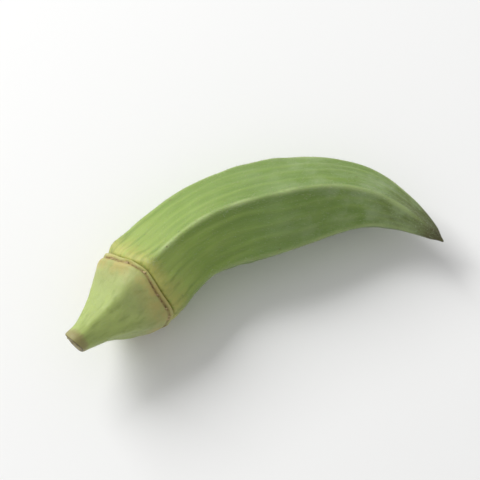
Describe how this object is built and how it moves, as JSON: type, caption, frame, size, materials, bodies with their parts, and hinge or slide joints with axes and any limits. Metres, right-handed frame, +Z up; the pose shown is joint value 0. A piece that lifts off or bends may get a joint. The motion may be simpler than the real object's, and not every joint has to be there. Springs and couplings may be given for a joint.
{
  "type": "okra pod",
  "caption": "Fresh okra pod as picked: a curved, ridged green seed pod that tapers to a hooked tip, with its cap, scar ring and short cut stalk, lying on its side.",
  "frame": {"origin": "on the surface that the pod lies on, under the middle of its bounding box", "axes": "+X from the cut stalk to the tip along the pod's chord, +Y towards the outer side of its arch, +Z up"},
  "size_m": [0.0672, 0.0244, 0.0162],
  "materials": {
    "pod_skin": "fresh green plant skin, satin to matt, with fine down along the ridges",
    "cap_skin": "pale yellow-green plant skin, matt, with a tan scar ring and a dry brown cut end"
  },
  "bodies": {
    "root": {"pod": "pod_skin", "cap_and_stalk": "cap_skin"}
  },
  "joints": []
}
